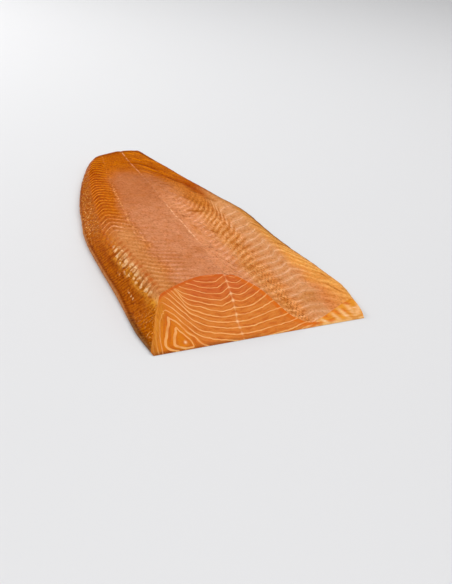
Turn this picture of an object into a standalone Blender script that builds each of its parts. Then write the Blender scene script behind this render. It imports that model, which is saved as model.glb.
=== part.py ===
"""A side of smoked salmon, trimmed and skinned, with its wide end cut on the slant for slicing.

The side lies flat on its skin side. +Y runs to the tail, -X is the thick back of the fish and
+X is the thin belly flap. Places along the fish are given from the knife's cut at the wide end.
The body is a loft of cross-sections, each drawn through thirteen named points. A slanted knife cut
then opens the wide end, and a straight trim ends the tail.
"""

import bpy
import bmesh
import math
import numpy as np
from mathutils import Matrix, Vector

MM = 0.001

# Driving dimensions, in millimetres.
KNIFE_ANGLE = 31.0        # slant of the slicing cut, in degrees from level
TAIL_SKEW = 11.3          # the tail's trim reaches further back on the belly side, in degrees
TAIL_MIDDLE = 438.5       # from the knife's edge on the surface to the trim, at mid-width
LOFT_START = -14.0        # the loft begins before the knife's cut
LOFT_END = 462.0          # and ends behind the tail's trim
FINE_STEP = 3.5           # spacing of cross-sections along the ridged shoulder
COARSE_STEP = 7.0         # and behind it
FINE_END = 175.0          # where the ridged shoulder has died out

RIDGE_PITCH = 7.0         # the muscle blocks' ends stand out along the back's shoulder
RIDGE_HEIGHT = 0.8
RIDGE_START = 20.0        # they rise to full height over this length from the knife's edge
RIDGE_FADE = 60.0         # and die out over this length before FINE_END
RIDGE_LINE = 3.4          # their place on the outline, counted in its named points
RIDGE_SPREAD = 0.55       # and how far they spread over it, counted the same way
GROOVE_DEPTH = 0.5        # the shallow groove along the fish's middle line
GROOVE_WIDTH = 3.0
SHARP_EDGE = 40.0         # faces that meet at more degrees than this keep a hard edge

# Each cutting block as (its sizes, its low corner), before it is turned and placed.
KNIFE_BLOCK = ((500, 220, 140), (-250, -60, 0))
TAIL_BLOCK = ((400, 80, 80), (-200, 0, -20))

# Each line of the body as (place along the fish, value), in millimetres. Places run from the
# knife's edge to the tail. "In" is measured inwards from the nearer edge, "z" above the surface.
BACK_EDGE = ((-14, -117.4), (0, -118.2), (40, -121.8), (98, -119.4), (200, -117.6), (230, -114.6),
             (268, -106.8), (304, -98), (344, -85), (378, -71.5), (410, -56), (434, -42), (462, -25))
BACK_FOOT_IN = ((0, 1.5), (60, 2), (300, 2.5), (462, 2))
BACK_LIP_Z = ((0, 2), (60, 3), (200, 3.5), (260, 5), (340, 6), (462, 5))
WALL_BULGE = ((0, 0.25), (60, 0.25), (120, 0.16), (220, 0.12), (462, 0.10))
SHOULDER_IN = ((0, 23.5), (50, 23.5), (90, 20), (150, 17), (200, 18), (260, 19), (340, 13), (400, 6),
               (462, 4))
SHOULDER_Z = ((0, 26), (50, 26), (90, 26.5), (150, 25), (220, 20.5), (300, 15.5), (380, 11.5), (462, 9))
BACK_IN = ((0, 28.5), (50, 28.5), (90, 26), (150, 25.5), (200, 28), (260, 30), (340, 25), (400, 16),
           (462, 12))
BACK_Z = ((0, 31), (50, 31), (90, 31.5), (150, 30), (220, 26), (300, 20.5), (380, 15.2), (462, 11))
CREST_X = ((0, -44), (90, -45), (200, -42), (300, -30), (380, -16), (462, -4))
CREST_Z = ((0, 38.4), (64, 38.3), (110, 37), (170, 34.5), (230, 31), (300, 25.5), (370, 19),
           (420, 14.8), (462, 12.5))
MIDDLE_X = ((0, -19), (60, -18), (110, -16.5), (212, -14.5), (306, -7.5), (395, -3.5), (462, 1))
MIDDLE_DROP = ((0, 1.1), (110, 1.1), (230, 0.6), (462, 0.3))
FLANK_X = ((0, 8), (110, 10), (200, 15), (300, 17), (380, 14), (462, 9))
FLANK_Z = ((0, 27.8), (60, 28), (140, 27.6), (200, 25.8), (260, 23), (320, 19.6), (380, 15.2), (462, 11.6))
BANK_X = ((0, 37.5), (60, 39), (120, 42), (200, 44), (280, 42), (340, 37), (390, 26), (462, 14))
BANK_Z = ((0, 7.2), (40, 8), (110, 11.5), (190, 14), (250, 15.5), (320, 15), (390, 13), (462, 10.8))
HOLLOW_X = ((0, 56), (60, 56), (120, 56), (200, 58), (280, 57), (330, 49), (390, 33), (462, 18))
HOLLOW_Z = ((0, 2.8), (20, 3.0), (60, 4.4), (120, 7), (190, 9.6), (250, 11.8), (320, 12.8), (390, 12),
            (462, 10.2))
BELLY_IN = ((0, 9), (25, 9.5), (60, 14), (150, 18), (250, 17), (330, 10), (462, 5))
BELLY_Z = ((0, 12.2), (30, 12.2), (60, 11.5), (150, 10.6), (250, 10.6), (330, 11), (390, 10.8),
           (462, 9.4))
BELLY_EDGE = ((-14, 115), (5, 116.3), (22, 118.5), (52, 122.5), (75, 119.8), (108, 115), (147, 107.5),
              (200, 101.5), (238, 98.5), (284, 83), (338, 65), (393, 47), (440, 33), (462, 27))
BELLY_LIP_Z = ((0, 3), (60, 4.5), (200, 4.5), (300, 5.5), (462, 5.5))
BELLY_FOOT_IN = ((0, 0.3), (40, 1.5), (100, 3), (462, 3))

# How many faces the outline takes between each of its points and the next.
SPANS = (3, 2, 4, 3, 5, 4, 4, 4, 3, 6, 4, 3)


def smooth_line(points, places):
    """Values at the places on a smooth line through the points that never overshoots them."""
    x, y = np.array(points, float).T
    step = np.diff(x)
    rise = np.diff(y) / step
    slope = np.zeros_like(y)
    before, after = rise[:-1], rise[1:]
    same_way = before * after > 0
    weight_a, weight_b = 2 * step[1:] + step[:-1], step[1:] + 2 * step[:-1]
    with np.errstate(divide="ignore", invalid="ignore"):
        mean = (weight_a + weight_b) / (weight_a / before + weight_b / after)
    slope[1:-1] = np.where(same_way, mean, 0.0)
    slope[0], slope[-1] = rise[0], rise[-1]
    at = np.clip(np.asarray(places, float), x[0], x[-1])
    i = np.clip(np.searchsorted(x, at, side="right") - 1, 0, len(step) - 1)
    t = (at - x[i]) / step[i]
    return ((1 + 2 * t) * (1 - t) ** 2 * y[i] + t * (1 - t) ** 2 * step[i] * slope[i]
            + t * t * (3 - 2 * t) * y[i + 1] + t * t * (t - 1) * step[i] * slope[i + 1])


def outline_points(place):
    """The named points of one cross-section, from the back's foot over the top to the belly's."""
    def at(line):
        return float(smooth_line(line, place))

    back, belly = at(BACK_EDGE), at(BELLY_EDGE)
    lip, shoulder = at(BACK_LIP_Z), at(SHOULDER_Z)
    return (
        (back + at(BACK_FOOT_IN), 0.0),
        (back, lip),
        (back + at(WALL_BULGE) * at(SHOULDER_IN), lip + 0.25 * (shoulder - lip)),
        (back + at(SHOULDER_IN), shoulder),
        (back + at(BACK_IN), at(BACK_Z)),
        (at(CREST_X), at(CREST_Z)),
        (at(MIDDLE_X), at(CREST_Z) - at(MIDDLE_DROP)),
        (at(FLANK_X), at(FLANK_Z)),
        (at(BANK_X), at(BANK_Z)),
        (at(HOLLOW_X), at(HOLLOW_Z)),
        (belly - at(BELLY_IN), at(BELLY_Z)),
        (belly, at(BELLY_LIP_Z)),
        (belly - at(BELLY_FOOT_IN), 0.0),
    )


def shoulder_ridges(place, u):
    """Height of the muscle blocks' ends, which stand out along the back's shoulder."""
    along = min(max(place / RIDGE_START, 0.0), 1.0)
    along *= min(max((FINE_END - place) / RIDGE_FADE, 0.0), 1.0)
    across = math.exp(-((u - RIDGE_LINE) / RIDGE_SPREAD) ** 2)
    return RIDGE_HEIGHT * along * across * math.cos(2 * math.pi * place / RIDGE_PITCH)


def cross_section(place):
    """Points round one cross-section, in millimetres, from foot to foot over the top."""
    named = outline_points(place)
    marks = range(len(named))
    steps = [i + k / n for i, n in enumerate(SPANS) for k in range(n)] + [len(SPANS)]
    x = smooth_line(tuple(zip(marks, (p[0] for p in named))), steps)
    z = smooth_line(tuple(zip(marks, (p[1] for p in named))), steps)
    middle = float(smooth_line(MIDDLE_X, place))
    z = z - GROOVE_DEPTH * np.exp(-((x - middle) / GROOVE_WIDTH) ** 2)
    z = z + np.array([shoulder_ridges(place, u) for u in steps])
    z[0] = z[-1] = 0.0
    return [Vector((px, place, pz)) * MM for px, pz in zip(x, z)]


def stations():
    """Places of the cross-sections, close together along the ridged shoulder."""
    fine = np.arange(LOFT_START, FINE_END, FINE_STEP)
    coarse = np.linspace(FINE_END, LOFT_END, round((LOFT_END - FINE_END) / COARSE_STEP) + 1)
    return [float(s) for s in (*fine, *coarse)]


def make_side(collection, material):
    """The whole side before it is cut: a loft of its cross-sections, closed at both ends."""
    bm = bmesh.new()
    rings = [[bm.verts.new(p) for p in cross_section(s)] for s in stations()]
    for ring, following in zip(rings, rings[1:]):
        for i in range(len(ring)):
            j = (i + 1) % len(ring)
            bm.faces.new((ring[i], following[i], following[j], ring[j]))
    bm.faces.new(rings[0])
    bm.faces.new(reversed(rings[-1]))
    bmesh.ops.recalc_face_normals(bm, faces=bm.faces)
    mesh = bpy.data.meshes.new("salmon_side")
    bm.to_mesh(mesh)
    bm.free()
    mesh.shade_smooth()
    mesh.set_sharp_from_angle(angle=math.radians(SHARP_EDGE))
    mesh.materials.append(material)
    side = bpy.data.objects.new("salmon_side", mesh)
    collection.objects.link(side)
    return side


def make_cutter(name, collection, block_shape, placed):
    """A block that takes away what lies past a knife's flat cut."""
    size, low_corner = block_shape
    bpy.ops.mesh.primitive_cube_add(size=1.0)
    block = bpy.context.object
    block.name = name
    shape = Matrix.Translation(Vector(low_corner) * MM)
    shape = shape @ Matrix.Diagonal((*(Vector(size) * MM), 1.0))
    block.data.transform(shape @ Matrix.Translation((0.5, 0.5, 0.5)))
    block.matrix_world = placed
    for owner in block.users_collection:
        owner.objects.unlink(block)
    collection.objects.link(block)
    block.display_type = "WIRE"
    block.hide_render = True
    return block


def cut_away(side, cutter):
    """Takes the cutter's block away from the side."""
    cut = side.modifiers.new(cutter.name, "BOOLEAN")
    cut.operation = "DIFFERENCE"
    cut.solver = "EXACT"
    cut.object = cutter


def stand_on_middle(pieces):
    """Moves everything together so that the side's own middle, on the surface, is the origin."""
    bpy.context.view_layer.update()
    side = pieces[0].evaluated_get(bpy.context.evaluated_depsgraph_get())
    corners = np.array([side.matrix_world @ v.co for v in side.data.vertices])
    low, high = corners.min(axis=0), corners.max(axis=0)
    anchor = bpy.data.objects.new("anchor", None)
    bpy.context.scene.collection.objects.link(anchor)
    for piece in pieces:
        piece.parent = anchor
    anchor.location = (-(low[0] + high[0]) / 2, -(low[1] + high[1]) / 2, -low[2])


def flesh_material():
    """Moist orange flesh."""
    material = bpy.data.materials.new("smoked_salmon")
    material.use_nodes = True
    shader = material.node_tree.nodes["Principled BSDF"]
    shader.inputs["Base Color"].default_value = (0.60, 0.19, 0.05, 1.0)
    shader.inputs["Roughness"].default_value = 0.38
    shader.inputs["Metallic"].default_value = 0.0
    return material


def main():
    for old in list(bpy.data.objects):
        bpy.data.objects.remove(old, do_unlink=True)
    parts = bpy.data.collections.new("smoked_salmon_side")
    cutters = bpy.data.collections.new("cutters")
    for collection in (parts, cutters):
        bpy.context.scene.collection.children.link(collection)

    side = make_side(parts, flesh_material())
    slant = Matrix.Rotation(math.radians(KNIFE_ANGLE), 4, "X")
    knife = make_cutter("knife_cut", cutters, KNIFE_BLOCK, slant)
    trim = Matrix.Translation(Vector((0.0, TAIL_MIDDLE, 0.0)) * MM)
    trim = trim @ Matrix.Rotation(math.radians(TAIL_SKEW), 4, "Z")
    tail = make_cutter("tail_trim", cutters, TAIL_BLOCK, trim)
    cut_away(side, knife)
    cut_away(side, tail)
    stand_on_middle((side, knife, tail))


main()
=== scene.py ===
"""The look of a side of smoked salmon: its flesh, fat lines, smoked surface, stage and camera.

Places are in the fish's own millimetres: across is -X to the thick back and +X to the thin belly,
along runs from the knife's edge at the wide end to the tail, and up is Z. The surface follows the
same thirteen named lines as the part, and every finish is counted from them.
"""

import math

import bmesh
import bpy
import numpy as np
from bpy.props import FloatProperty, FloatVectorProperty, PointerProperty
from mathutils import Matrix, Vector
from mathutils.geometry import delaunay_2d_cdt


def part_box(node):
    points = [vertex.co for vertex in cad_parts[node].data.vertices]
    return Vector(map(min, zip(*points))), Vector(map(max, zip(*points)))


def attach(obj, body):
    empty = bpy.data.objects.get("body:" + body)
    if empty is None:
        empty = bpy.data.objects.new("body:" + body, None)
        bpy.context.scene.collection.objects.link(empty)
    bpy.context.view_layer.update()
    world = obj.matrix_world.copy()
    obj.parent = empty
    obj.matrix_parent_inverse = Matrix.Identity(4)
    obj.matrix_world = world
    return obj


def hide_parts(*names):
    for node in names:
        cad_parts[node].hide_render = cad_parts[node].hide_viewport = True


bl_info = {
    "name": "Side of smoked salmon",
    "version": (1, 0, 0),
    "blender": (4, 5, 0),
    "location": "3D View > Sidebar > Salmon",
    "description": "Makes a side of smoked salmon with a slanted slicing cut, and a plain studio",
    "category": "Add Mesh",
}

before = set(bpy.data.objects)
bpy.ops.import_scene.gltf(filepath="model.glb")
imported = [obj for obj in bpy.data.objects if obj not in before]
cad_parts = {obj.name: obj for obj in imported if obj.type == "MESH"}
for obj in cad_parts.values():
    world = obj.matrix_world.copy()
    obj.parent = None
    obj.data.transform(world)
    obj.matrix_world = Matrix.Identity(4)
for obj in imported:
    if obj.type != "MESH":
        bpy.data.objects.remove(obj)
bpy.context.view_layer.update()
LOW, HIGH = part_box("salmon_side")
MM = 0.001

# ---------------------------------------------------------------- the form, as in the part

KNIFE_ANGLE = 31.0        # slant of the slicing cut, in degrees from level
TAIL_SKEW = 11.3          # the tail's trim reaches further back on the belly side, in degrees
TAIL_MIDDLE = 438.5       # from the knife's edge on the surface to the trim, at mid-width
KNIFE_RISE = math.tan(math.radians(KNIFE_ANGLE))
TAIL_RISE = math.tan(math.radians(TAIL_SKEW))

BACK_EDGE = ((-14, -117.4), (0, -118.2), (40, -121.8), (98, -119.4), (200, -117.6), (230, -114.6),
             (268, -106.8), (304, -98), (344, -85), (378, -71.5), (410, -56), (434, -42), (462, -25))
BACK_FOOT_IN = ((0, 1.5), (60, 2), (300, 2.5), (462, 2))
BACK_LIP_Z = ((0, 2), (60, 3), (200, 3.5), (260, 5), (340, 6), (462, 5))
WALL_BULGE = ((0, 0.25), (60, 0.25), (120, 0.16), (220, 0.12), (462, 0.10))
SHOULDER_IN = ((0, 23.5), (50, 23.5), (90, 20), (150, 17), (200, 18), (260, 19), (340, 13), (400, 6),
               (462, 4))
SHOULDER_Z = ((0, 26), (50, 26), (90, 26.5), (150, 25), (220, 20.5), (300, 15.5), (380, 11.5), (462, 9))
BACK_IN = ((0, 28.5), (50, 28.5), (90, 26), (150, 25.5), (200, 28), (260, 30), (340, 25), (400, 16),
           (462, 12))
BACK_Z = ((0, 31), (50, 31), (90, 31.5), (150, 30), (220, 26), (300, 20.5), (380, 15.2), (462, 11))
CREST_X = ((0, -44), (90, -45), (200, -42), (300, -30), (380, -16), (462, -4))
CREST_Z = ((0, 38.4), (64, 38.3), (110, 37), (170, 34.5), (230, 31), (300, 25.5), (370, 19),
           (420, 14.8), (462, 12.5))
MIDDLE_X = ((0, -19), (60, -18), (110, -16.5), (212, -14.5), (306, -7.5), (395, -3.5), (462, 1))
MIDDLE_DROP = ((0, 1.1), (110, 1.1), (230, 0.6), (462, 0.3))
FLANK_X = ((0, 8), (110, 10), (200, 15), (300, 17), (380, 14), (462, 9))
FLANK_Z = ((0, 27.8), (60, 28), (140, 27.6), (200, 25.8), (260, 23), (320, 19.6), (380, 15.2), (462, 11.6))
BANK_X = ((0, 37.5), (60, 39), (120, 42), (200, 44), (280, 42), (340, 37), (390, 26), (462, 14))
BANK_Z = ((0, 7.2), (40, 8), (110, 11.5), (190, 14), (250, 15.5), (320, 15), (390, 13), (462, 10.8))
HOLLOW_X = ((0, 56), (60, 56), (120, 56), (200, 58), (280, 57), (330, 49), (390, 33), (462, 18))
HOLLOW_Z = ((0, 2.8), (20, 3.0), (60, 4.4), (120, 7), (190, 9.6), (250, 11.8), (320, 12.8), (390, 12),
            (462, 10.2))
BELLY_IN = ((0, 9), (25, 9.5), (60, 14), (150, 18), (250, 17), (330, 10), (462, 5))
BELLY_Z = ((0, 12.2), (30, 12.2), (60, 11.5), (150, 10.6), (250, 10.6), (330, 11), (390, 10.8),
           (462, 9.4))
BELLY_EDGE = ((-14, 115), (5, 116.3), (22, 118.5), (52, 122.5), (75, 119.8), (108, 115), (147, 107.5),
              (200, 101.5), (238, 98.5), (284, 83), (338, 65), (393, 47), (440, 33), (462, 27))
BELLY_LIP_Z = ((0, 3), (60, 4.5), (200, 4.5), (300, 5.5), (462, 5.5))
BELLY_FOOT_IN = ((0, 0.3), (40, 1.5), (100, 3), (462, 3))
GROOVE_DEPTH = 0.5
GROOVE_WIDTH = 3.0
BULGE_SHARE = 0.25        # how far up the side its bulge is, from the lip to the shoulder

# ---------------------------------------------------------------- how finely it is modelled

FACES_ACROSS = (3, 7, 21, 6, 38, 21, 24, 30, 16, 43, 11, 3)   # between one named line and the next
ROWS_ALONG = 310          # from the cut to the tail's trim
CUT_GRAIN = 1.0           # spacing of points on the cut face
END_GRAIN = 3.0           # and on the tail's trim
UNDER_GRAIN = 9.0         # and on the flat underside
CREASE_FADE = 3.5         # relief dies out over this length towards the cut
GRAIN_HEIGHT = 0.12       # height of the finest unevenness
SETTLE_STEPS = 40         # tries at where a slanted face meets the surface, each closer than the last
ROW_GAP = 0.866           # rows of points inside a flat face, against the points' spacing
EDGE_GAP = 0.45           # and how far they keep from its edge
PATH_STEPS = 60           # points by which a mark's path is followed
FILL_INSIDE = 1           # tells the triangulation to keep what lies inside the outline
SAME_POINT = 1e-7         # and to take nearer points for one
TINY = 1e-9               # stands in for nothing where a division follows
FAR_AWAY = 1e9            # further than any distance on the fish
WET_STRIPS = 3            # the glossy side takes this many strips between named lines
CREST_STRIPS = 5          # and this many lie between the back's foot and the crest
TOP, CUT, TRIM, UNDER, WET_SIDE = range(5)                    # the finishes, by number

# ---------------------------------------------------------------- lines in the flesh

# The fat lines on the cut face, numbered outwards from the core in the back, as (across, along).
FAT_RIGHT = (
    (0, ((-130, 60), (-88, 12), (-84, 6), (-80, 0), (-60, -16), (60, -24))),
    (1, ((-130, 78), (-87.7, 22.8), (-85.9, 18.4), (-82.7, 14.9), (-80.1, 11.6), (-77.4, 8.4),
         (-76.1, 5), (-75, 0), (-60, -12), (60, -14))),
    (2, ((-130, 82), (-91.8, 31.1), (-84.8, 24.6), (-78, 15.5), (-70.9, 8.4), (-66.8, 3.4), (-62.1, 0),
         (-45, -5), (-20, -7), (30, -4), (46, 1.5), (60, 3))),
    (3, ((-130, 86), (-92.7, 38.2), (-86.2, 32.8), (-80.4, 25.2), (-73.9, 17.5), (-68, 11.4),
         (-56.2, 6.4), (-43.9, 3.1), (-20, -0.8), (8, 0), (29.6, 2.2), (46, 5.2), (60, 7))),
    (4, ((-130, 92), (-94.5, 46), (-85.1, 38.1), (-79.8, 31.6), (-73.3, 24.6), (-67.4, 17.5),
         (-57.4, 12.2), (-44.5, 9.3), (-28, 5.8), (-12, 5.3), (10, 7.2), (29.6, 9), (41, 11), (60, 14))),
    (6, ((-130, 106), (-84.5, 51.4), (-75.6, 40.5), (-69.2, 31.8), (-60.9, 26.4), (-50.4, 21.1),
         (-35.6, 17.8), (-14.5, 16.9), (0, 18.7), (13, 21.1), (26.7, 23.4), (60, 30))),
    (8, ((-130, 124), (-75.1, 51.4), (-71.5, 43.4), (-66, 38.7), (-56.8, 35.6), (-46.8, 31.1),
         (-34.5, 28.2), (-21, 28.3), (-8.6, 29.3), (3, 31.6), (13.2, 35.8), (22, 40), (60, 60))),
    (10, ((-130, 134), (-70.9, 51.4), (-63.9, 47.8), (-52.1, 43.4), (-39, 39.9), (-32.5, 38.8),
          (-21, 39.4), (-10.9, 41.1), (0.2, 44.6), (8, 48.5), (60, 76))),
    (12, ((-130, 146), (-69, 61), (-61.5, 58.4), (-50.4, 53.7), (-38.6, 51), (-21, 50.6), (-10.9, 52.8),
          (0, 57), (60, 90))),
    (14, ((-130, 160), (-61.5, 69), (-50, 64.4), (-38, 62.6), (-21, 62), (-10, 64), (0, 69), (60, 104))),
)
# Their outer legs, beside the wall of the back, as (along, across).
FAT_LEFT = (
    (0, ((-5, -84), (8, -84.5), (16, -84.6), (30, -80), (70, -62))),
    (1, ((-5, -83), (1.6, -85), (2.8, -87.4), (4.6, -91.5), (6.6, -93.6), (11, -92.7), (14.6, -90.4),
         (17.5, -88.4), (22.8, -87.7), (30, -86), (70, -68))),
    (2, ((-5, -88), (0.8, -93.3), (1.9, -97.4), (4, -100.9), (6.9, -102.7), (9.9, -102.1), (15.2, -99.2),
         (19.3, -97.4), (26.4, -93), (31.1, -91.8), (38, -89.5), (70, -74))),
    (3, ((-5, -107.6), (10.5, -106.8), (15.2, -105.9), (20.5, -104.2), (25.8, -102.4), (28.7, -100.9),
         (32.2, -98), (36.4, -95.1), (38.2, -92.7), (45, -90), (70, -78))),
    (4, ((-5, -112), (10, -110.6), (18, -108.5), (25.8, -106.2), (32.2, -104), (38.1, -100.9),
         (41.1, -98.6), (46, -94.5), (52, -91), (70, -82))),
    (5, ((-5, -117), (20, -112.5), (38, -105), (46, -98.5), (52, -95), (70, -87))),
)
SEAM = (2.2, 2.57)        # a row of pale dashes on the back's side, in named lines, near and far
CORE_BOTTOM = 1.7         # the innermost fat line closes under the core at this place along
CORE_BOTTOM_PITCH = 3.0
FAT_CORNER = 5.0          # how sharply the lines turn where their legs meet
LATERAL_LINE = ((-5, -23.5), (6, -23.5), (18, -24), (25, -22.3), (31, -21.9), (38, -20.8), (70, -20.6))
LATERAL_KINK = ((18, 0), (24.5, 1.0), (30.5, 2.0), (37, 3.0), (43, 4.0), (50, 4.6), (60, 5.4))
KINK_LEFT = 12.0          # the fat lines rise to the lateral line over this width on its back side
KINK_RIGHT = 9.0          # and fall over this one on its belly side
# Pale and red streaks on the thin cut edge of the belly, as paths of (across, along) with a width.
BELLY_PALE = (
    (2.0, 1.0, ((89, 14), (92, 10.5), (95, 7), (98, 4), (102, 1))),
    (2.6, 1.0, ((100, 16), (103, 12), (105, 9), (106, 6), (107, 2))),
    (1.8, 1.0, ((80, 10), (83, 7), (86, 4), (90, 1))),
    (1.4, 1.0, ((64, 7), (68, 4.5), (72, 2), (75, 0))),
    (0.8, 1.0, ((106, 12), (110, 11.5), (115, 11))),
    (0.8, 1.0, ((107, 8.5), (111, 8), (116, 7.5))),
    (0.8, 1.0, ((108, 5.5), (112, 5), (116, 4.5))),
    (0.9, 1.0, ((108, 2), (112, 1.5), (116, 1.5))),
    (1.0, 1.0, ((50, 7), (56, 5.5), (62, 5), (68, 6.5))),
    (1.5, 0.7, ((50, 0.5), (70, 1), (95, 1), (117, 2))),
    (3.0, 0.8, ((102, 3), (109, 6), (115, 12), (118, 24))),
)
BELLY_RED = (
    (2.4, 0.6, ((67, 8.5), (71, 8), (76, 7.5), (79, 6))),
    (1.6, 1.0, ((72, 4), (77, 3.2), (82, 2.6))),
    (1.6, 1.0, ((81, 13), (85, 11), (88, 9), (90, 7))),
    (1.2, 1.0, ((94, 13), (97, 10), (100, 7))),
    (1.3, 1.0, ((97, 18), (102, 16.5), (106, 15.5))),
    (1.2, 1.0, ((46, 3), (54, 3), (60, 3), (68, 3))),
)
CORE_SPOT = (-82.7, 6.8)  # a bright spot of fat in the middle of the core
CORE_SPOT_SIZE = 1.2
FAT_PITCH = 6.2           # along the lateral line, where the lines meet in bright stars
STAR_SIZE = 1.15

# The lines between the muscle blocks of the flank and belly, numbered from the cut towards the
# tail, as (across, along).
MUSCLE_LINES = (
    (1, ((0, -15), (14, 5), (34, 23), (54, 29.5), (66, 32), (74, 30.5), (82, 26), (90, 18.5), (98, 10),
         (120, -12))),
    (3, ((0, 10), (14, 25), (34, 43), (54, 54), (66, 54.5), (74, 58), (82, 53.5), (90, 47), (98, 38),
         (120, 14))),
    (5, ((0, 30), (14, 44), (34, 64.5), (46, 74), (54, 78), (66, 79), (74, 82), (79, 84.5), (82, 84),
         (90, 78), (98, 66), (120, 38))),
    (7, ((0, 50), (14, 65.5), (34, 88), (46, 98), (54, 102.5), (66, 104.5), (74, 106.5), (81, 110.5),
         (86, 108.5), (98, 93), (120, 64))),
    (9, ((0, 70), (14, 86), (34, 108.5), (46, 121), (54, 126.5), (66, 129.3), (74, 131), (82, 138),
         (86, 137.5), (98, 118.5), (120, 88))),
    (11, ((0, 88), (14, 104), (34, 129.5), (46, 143), (54, 150), (66, 155.3), (74, 158), (81, 163),
          (86, 160.5), (98, 142.5), (120, 112))),
    (13, ((0, 108), (14, 123.5), (34, 150), (46, 164), (54, 172.5), (62, 180.5), (74, 183.5),
          (85, 191), (90, 186), (98, 169), (120, 140))),
    (15, ((0, 130), (14, 143.5), (34, 172), (46, 186), (54, 195.5), (62, 213), (74, 217), (85, 223.5),
          (90, 219), (98, 204), (120, 176))),
    (17, ((0, 150), (14, 164), (34, 193), (46, 209), (54, 221), (62, 244), (74, 252.5), (84, 257),
          (98, 238), (120, 210))),
    (19, ((0, 170), (14, 183.5), (34, 211.5), (46, 229), (54, 244), (62, 274), (74, 284), (90, 288),
          (120, 260))),
    (21, ((0, 190), (14, 203), (34, 232), (46, 252), (54, 270), (62, 302), (74, 314), (120, 300))),
    (29, ((0, 270), (14, 283), (34, 312), (46, 332), (62, 380), (120, 420))),
)
# The back's lines run over it like a row of arches, as high as (along, number) says at their tops.
BACK_COUNT = ((0, -6.5), (60, 0), (95, 3.8), (151.5, 9.8), (204.5, 15), (247, 19), (283, 23),
              (325, 28), (400, 37.5), (460, 45))
BACK_TOP_X = ((0, -92), (180, -92), (215, -89), (250, -85), (300, -77), (340, -69), (380, -57),
              (440, -40))
BACK_OUTER_SLOPE = ((0, 1.2), (160, 0.9), (200, 0.7), (240, 0.75), (290, 1.15), (440, 1.2))
BACK_INNER_SLOPE = ((0, 1.0), (90, 1.15), (150, 1.4), (240, 1.3), (440, 1.2))
BACK_TOP_ROUND = 2.5
BACK_REACH = 34.0
BLOCK_SLANT = 0.3         # the muscle ends on the shoulder lean by this share of the back's lines
WALL_WAVE = 4.2           # spacing of the stripes on the back's side
SECOND_LINE = ((100, -66), (143, -70), (181, -71.7), (252, -63.3), (346, -48.3), (430, -30))

# Where the pale haze of the dried surface begins and ends across the fish. The haze is partly a dried film
# and partly painted sheen of the light on the flat top.
HAZE_BACK = ((0, -74), (200, -70), (220, -66), (260, -62), (300, -57), (340, -46), (370, -36), (440, -24))
HAZE_FLANK = ((0, 12), (120, 14), (200, 18), (240, 19), (280, 20), (310, 17), (340, 8), (370, -2),
              (440, -14))
HAZE_END = (345, 400)

# Colours from place to place, as a display shows them. Some stand in for light: the glint is a painted
# highlight, the small pale flecks on the back's side are painted glints, the gold band and the haze tones
# are partly painted sheen, and the lip is a painted shadow.
TONES = {
    "flank": 0xDF9354, "bank": 0xAA4D01, "tan": 0xC68049, "far haze": 0xB56B3E, "right haze": 0xDC9161,
    "belly haze": 0xCE8F5E, "belly edge": 0xE1994A, "tail": 0xB55D01, "corner": 0xB25C00,
    "rough side": 0xAE5901, "gold band": 0xC87C24, "glint": 0xECC08C, "far flank": 0xC8762C,
    "middle": 0xF0B488, "second": 0xE6A060, "lip": 0x7C430C, "belly cut": 0xE99622,
    "belly pale": 0xFFCE96, "belly red": 0xE4701C, "cut corner": 0xD68420, "star": 0xFFD09E,
    "dash": 0xE2A45C, "seam": 0xF0C48C, "under streak": 0xA8683C,
}

# Dark folds that the drying has drawn in, as paths of (across, along) with a width and a strength.
FOLDS = (
    (2.6, 0.9, ((-2, 366), (12, 363), (21, 356), (26, 348), (33, 333), (42, 323), (49, 311))),
    (2.8, 0.9, ((-12, 390), (-1, 389), (10, 387), (17, 379), (23, 369), (28, 354), (33, 340))),
    (2.0, 0.6, ((-2, 409), (10, 402), (20, 394), (30, 384))),
    (3.0, 0.7, ((24, 433), (30, 418), (37, 406), (44, 394))),
    (2.0, 0.5, ((9, 312), (17, 308), (20, 296), (26, 286))),
    (2.0, 0.5, ((16, 270), (26, 267), (33, 264))),
    (3.6, 0.6, ((43, 322), (47, 314), (52, 306))),
    (2.4, 0.8, ((43, 300), (47, 296), (52, 292))),
    (2.6, 0.8, ((58, 280), (62, 273), (67, 266))),
    (2.6, 0.8, ((6, 222), (14, 225), (24, 228), (34, 234))),
    (2.0, 0.7, ((9, 174), (16, 171), (23, 169))),
    (1.8, 0.4, ((0, 295), (8, 300), (16, 306))),
    (1.5, 0.4, ((-6, 311), (4, 316), (14, 323))),
    (1.5, 0.5, ((-2, 330), (8, 331), (18, 334))),
    (1.2, 0.8, ((4, 84), (0, 92), (-4, 98), (-8, 100))),
    (1.2, 0.8, ((2, 70), (-4, 76), (-10, 84))),
    (2.4, 0.28, ((-60, 193), (-44, 197), (-30, 200), (-19, 204))),
    (2.0, 0.35, ((-14, 200), (-4, 204), (8, 212), (20, 216))),
    (1.7, 1.0, ((82, 207), (88, 201), (93, 192))),
    (1.5, 1.0, ((87, 158), (95, 151), (103, 146))),
    (1.0, 0.9, ((102, 52), (106, 42), (109, 32))),
    (0.9, 0.9, ((99, 60), (103, 50), (106, 38))),
    (1.2, 0.9, ((104, 84), (107, 72), (109, 60))),
)

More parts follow.
